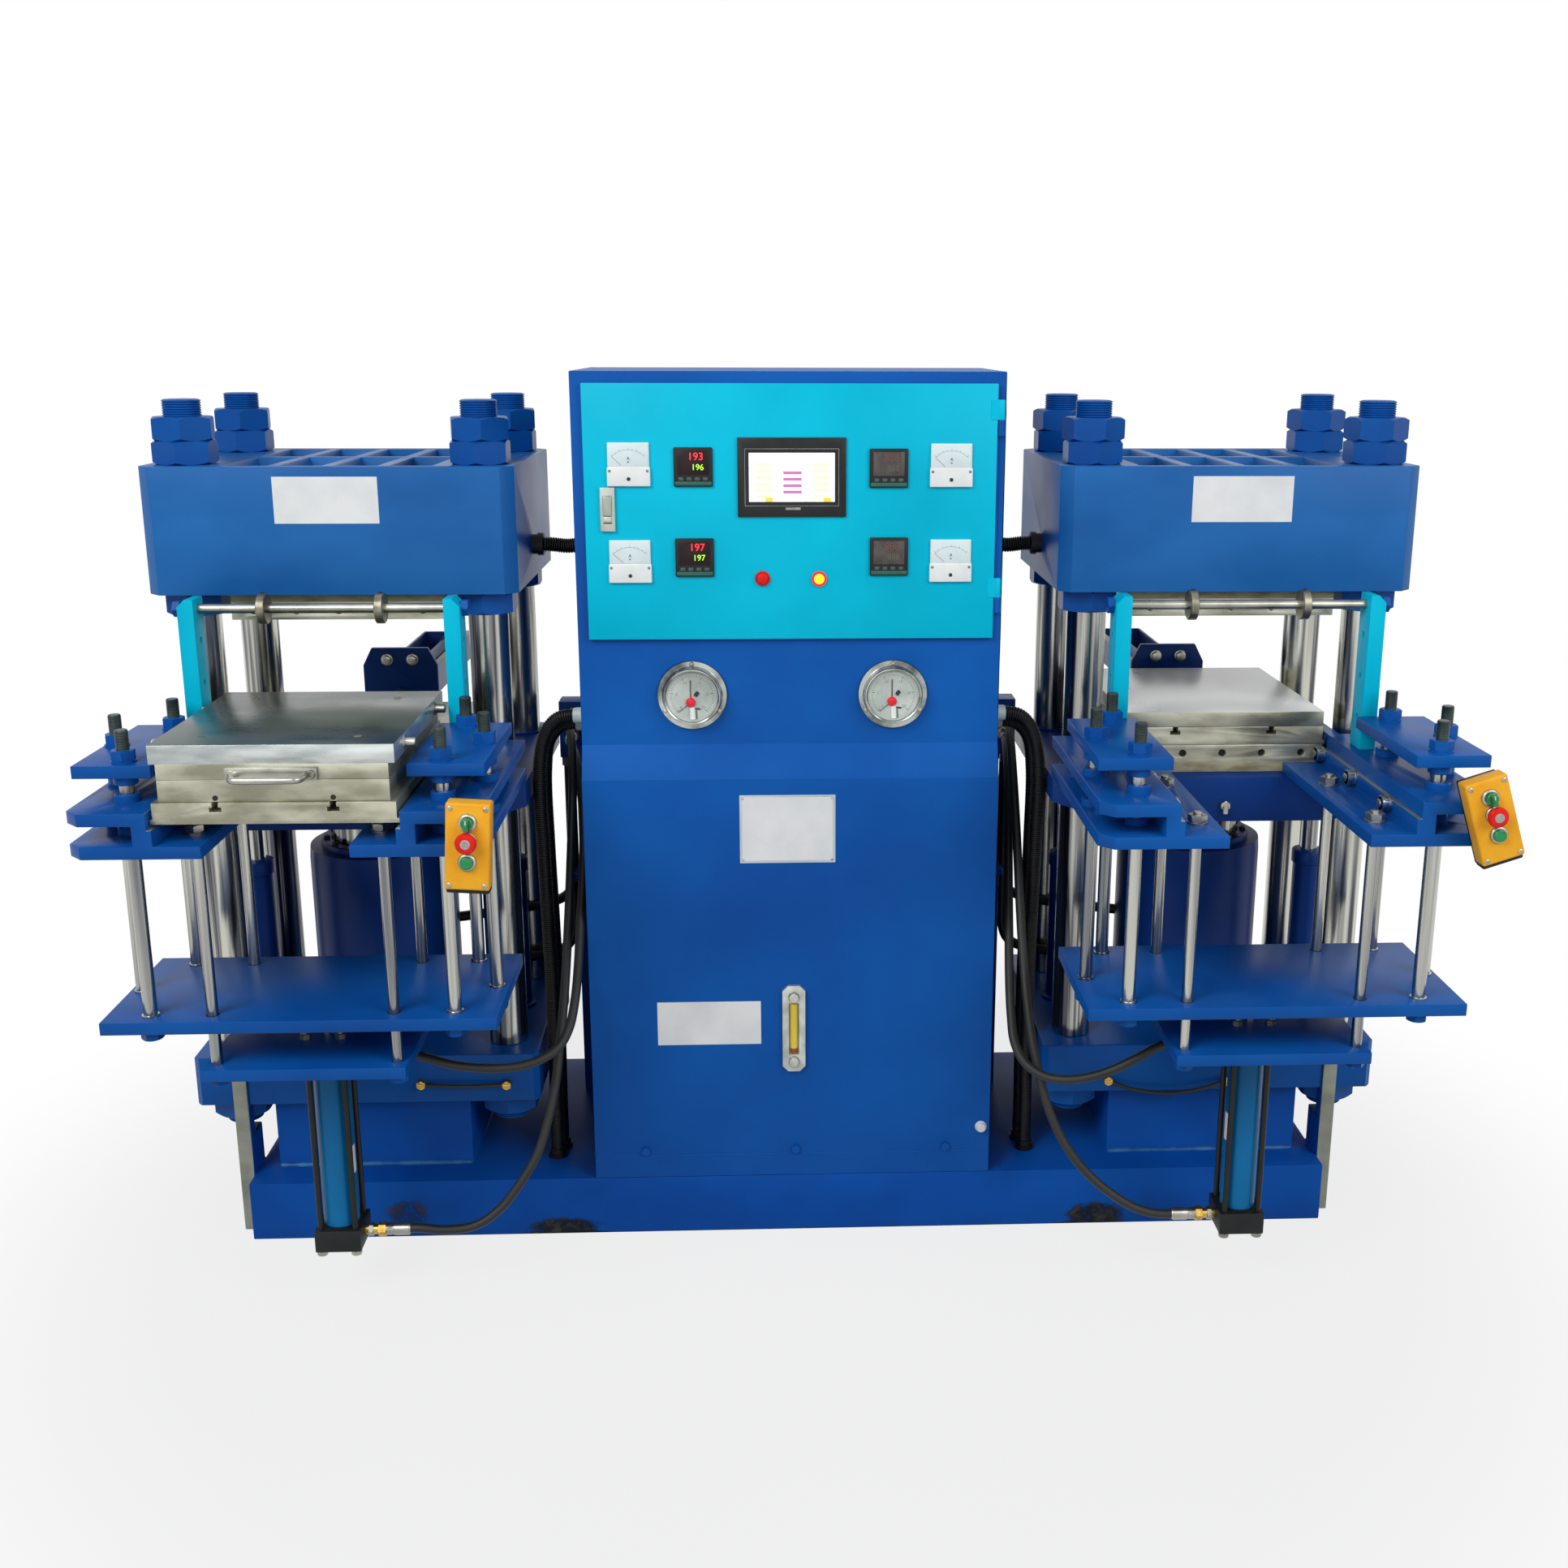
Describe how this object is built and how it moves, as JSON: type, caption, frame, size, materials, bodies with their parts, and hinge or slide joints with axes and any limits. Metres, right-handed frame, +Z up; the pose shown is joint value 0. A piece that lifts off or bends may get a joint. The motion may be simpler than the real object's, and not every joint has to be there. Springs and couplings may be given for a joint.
{
  "type": "vulcanizing press",
  "caption": "Hot-plate column presses for vulcanizing silicone, either side of a control cabinet, with sliding moulds, ejector frames, foot columns and a hydraulic unit behind.",
  "frame": {"origin": "on the floor, on the machine's middle line, in the plane of the control cabinet's upper front", "axes": "+X to the machine's right as seen from the operator's side, +Y from the operator's side to the back, +Z up"},
  "size_m": [2.4477, 1.6523, 1.7383],
  "materials": {
    "blue_paint": "gloss enamel",
    "dark_blue_paint": "gloss enamel",
    "cyan_paint": "gloss enamel",
    "tube_blue_paint": "gloss enamel",
    "ground_steel": "ground",
    "hard_chrome": "polished",
    "black_rubber": "matt",
    "black_metal": "satin",
    "yellow_plastic": "gloss",
    "red_plastic": "gloss",
    "green_plastic": "gloss"
  },
  "bodies": {
    "frame": {"base_frame": "blue_paint", "cabinet_body": "blue_paint", "pressure_gauge_left": "hard_chrome", "pressure_gauge_right": "hard_chrome", "oil_level_gauge": "hard_chrome", "hydraulic_unit": "dark_blue_paint", "left_upper_beam": "blue_paint", "left_column_left_front": "hard_chrome", "left_column_left_rear": "hard_chrome", "left_column_right_front": "hard_chrome", "left_column_right_rear": "hard_chrome", "left_upper_hot_plate": "ground_steel", "left_lower_beam": "blue_paint", "left_main_cylinder": "dark_blue_paint", "left_lower_hose": "black_rubber", "left_upper_hose": "black_rubber", "right_upper_beam": "blue_paint", "right_column_left_front": "hard_chrome", "right_column_left_rear": "hard_chrome", "right_column_right_front": "hard_chrome", "right_column_right_rear": "hard_chrome", "right_upper_hot_plate": "ground_steel", "right_lower_beam": "blue_paint", "right_main_cylinder": "dark_blue_paint", "right_lower_hose": "black_rubber", "right_upper_hose": "black_rubber"},
    "platen_left": {"left_moving_platen": "dark_blue_paint", "left_lower_hot_plate": "ground_steel", "left_rail_right": "blue_paint", "left_rail_left": "blue_paint", "left_crossbar": "cyan_paint", "left_ejector_hanger": "blue_paint", "left_ejector_cylinder": "tube_blue_paint", "left_slide_cylinder": "dark_blue_paint", "left_control_station": "yellow_plastic"},
    "platen_right": {"right_moving_platen": "dark_blue_paint", "right_lower_hot_plate": "ground_steel", "right_rail_right": "blue_paint", "right_rail_left": "blue_paint", "right_crossbar": "cyan_paint", "right_ejector_hanger": "blue_paint", "right_ejector_cylinder": "tube_blue_paint", "right_slide_cylinder": "dark_blue_paint", "right_control_station": "yellow_plastic"},
    "ejector_left": {"left_ejector_frame": "blue_paint"},
    "ejector_right": {"right_ejector_frame": "blue_paint"},
    "carriage_left": {"left_carriage": "ground_steel", "left_mould_base": "ground_steel"},
    "carriage_right": {"right_carriage": "ground_steel", "right_plain_plate": "ground_steel"},
    "mould_top": {"left_mould_top": "ground_steel"},
    "stop_left": {"left_stop_button": "red_plastic"},
    "stop_right": {"right_stop_button": "red_plastic"},
    "start_left": {"left_start_button": "green_plastic"},
    "start_right": {"right_start_button": "green_plastic"},
    "selector_left": {"left_selector": "green_plastic"},
    "selector_right": {"right_selector": "green_plastic"},
    "door": {"cabinet_door": "cyan_paint"},
    "lock": {"door_lock": "black_metal"},
    "heating": {"heating_button": "red_plastic"}
  },
  "joints": [
    {"name": "platen_left_lift", "type": "slide", "parent": "frame", "child": "platen_left", "axis": [0, 0, 1], "range_m": [0, 0.12]},
    {"name": "platen_right_lift", "type": "slide", "parent": "frame", "child": "platen_right", "axis": [0, 0, 1], "range_m": [0, 0.19]},
    {"name": "ejector_left_lift", "type": "slide", "parent": "platen_left", "child": "ejector_left", "axis": [0, 0, -1], "range_m": [-0.135, 0]},
    {"name": "ejector_right_lift", "type": "slide", "parent": "platen_right", "child": "ejector_right", "axis": [0, 0, -1], "range_m": [-0.135, 0]},
    {"name": "carriage_left_slide", "type": "slide", "parent": "platen_left", "child": "carriage_left", "axis": [0, 1, 0], "range_m": [0, 0.5]},
    {"name": "carriage_right_slide", "type": "slide", "parent": "platen_right", "child": "carriage_right", "axis": [0, 1, 0], "range_m": [-0.5, 0]},
    {"name": "mould_top_lift", "type": "slide", "parent": "carriage_left", "child": "mould_top", "axis": [0, 0, -1], "range_m": [-0.135, 0]},
    {"name": "stop_left_press", "type": "slide", "parent": "platen_left", "child": "stop_left", "axis": [0, 1, 0], "range_m": [0, 0.006]},
    {"name": "stop_right_press", "type": "slide", "parent": "platen_right", "child": "stop_right", "axis": [0, 1, 0], "range_m": [0, 0.006]},
    {"name": "start_left_press", "type": "slide", "parent": "platen_left", "child": "start_left", "axis": [0, 1, 0], "range_m": [0, 0.0035], "stiffness_N_per_m": 400},
    {"name": "start_right_press", "type": "slide", "parent": "platen_right", "child": "start_right", "axis": [0, 1, 0], "range_m": [0, 0.0035], "stiffness_N_per_m": 400},
    {"name": "selector_left_turn", "type": "hinge", "parent": "platen_left", "child": "selector_left", "pos_m": [-0.5351, -0.52, 1.0279], "axis": [0, 1, 0], "range_deg": [-45, 45]},
    {"name": "selector_right_turn", "type": "hinge", "parent": "platen_right", "child": "selector_right", "pos_m": [1.1635, -0.52, 1.0547], "axis": [0, 1, 0], "range_deg": [-45, 45]},
    {"name": "door_swing", "type": "hinge", "parent": "frame", "child": "door", "pos_m": [0.3945, -0.009, 1.48], "axis": [0, 0, 1], "range_deg": [0, 105]},
    {"name": "lock_turn", "type": "hinge", "parent": "door", "child": "lock", "pos_m": [-0.33894, -0.02, 1.48709], "axis": [0, 1, 0], "range_deg": [0, 90]},
    {"name": "heating_press", "type": "slide", "parent": "door", "child": "heating", "axis": [0, 1, 0], "range_m": [0, 0.004], "stiffness_N_per_m": 400}
  ],
  "couplings": [
    {"joint": "mould_top_lift", "follows": "ejector_left_lift", "ratio": 1}
  ]
}
